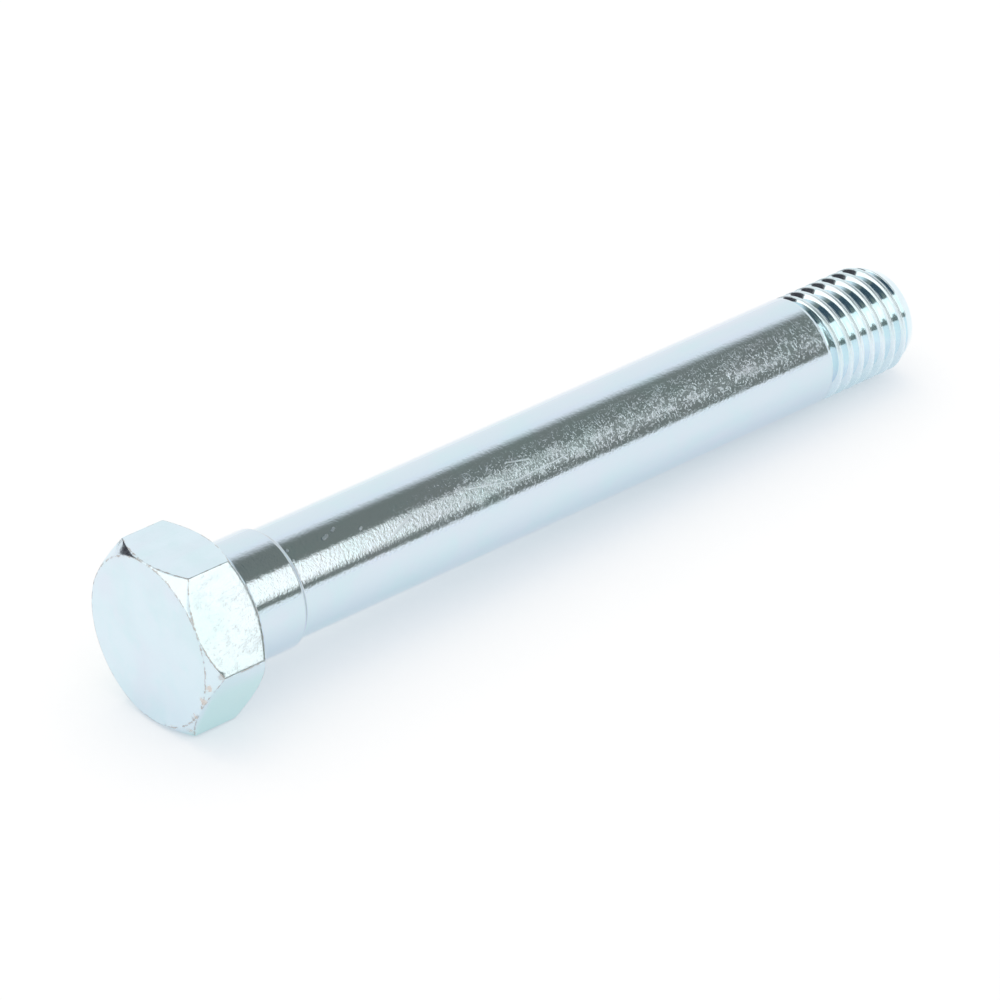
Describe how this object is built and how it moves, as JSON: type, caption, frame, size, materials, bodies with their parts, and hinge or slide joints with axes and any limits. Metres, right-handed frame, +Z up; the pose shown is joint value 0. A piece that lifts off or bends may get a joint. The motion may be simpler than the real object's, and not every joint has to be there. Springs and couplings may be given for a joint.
{
  "type": "shoulder bolt",
  "caption": "Hexagon head shoulder bolt with a short locating collar under the head, a long plain shank and a short coarse thread at the end.",
  "frame": {"origin": "centre of the bearing face under the head, on the bolt's axis", "axes": "+X along the bolt's axis from the head to the threaded end, +Z up through a flat of the head"},
  "size_m": [0.131, 0.0278, 0.024],
  "materials": {
    "zinc_plated_steel": "bright zinc plated, pale bluish, with fine handling scratches"
  },
  "bodies": {
    "root": {"shoulder_bolt": "zinc_plated_steel"}
  },
  "joints": []
}
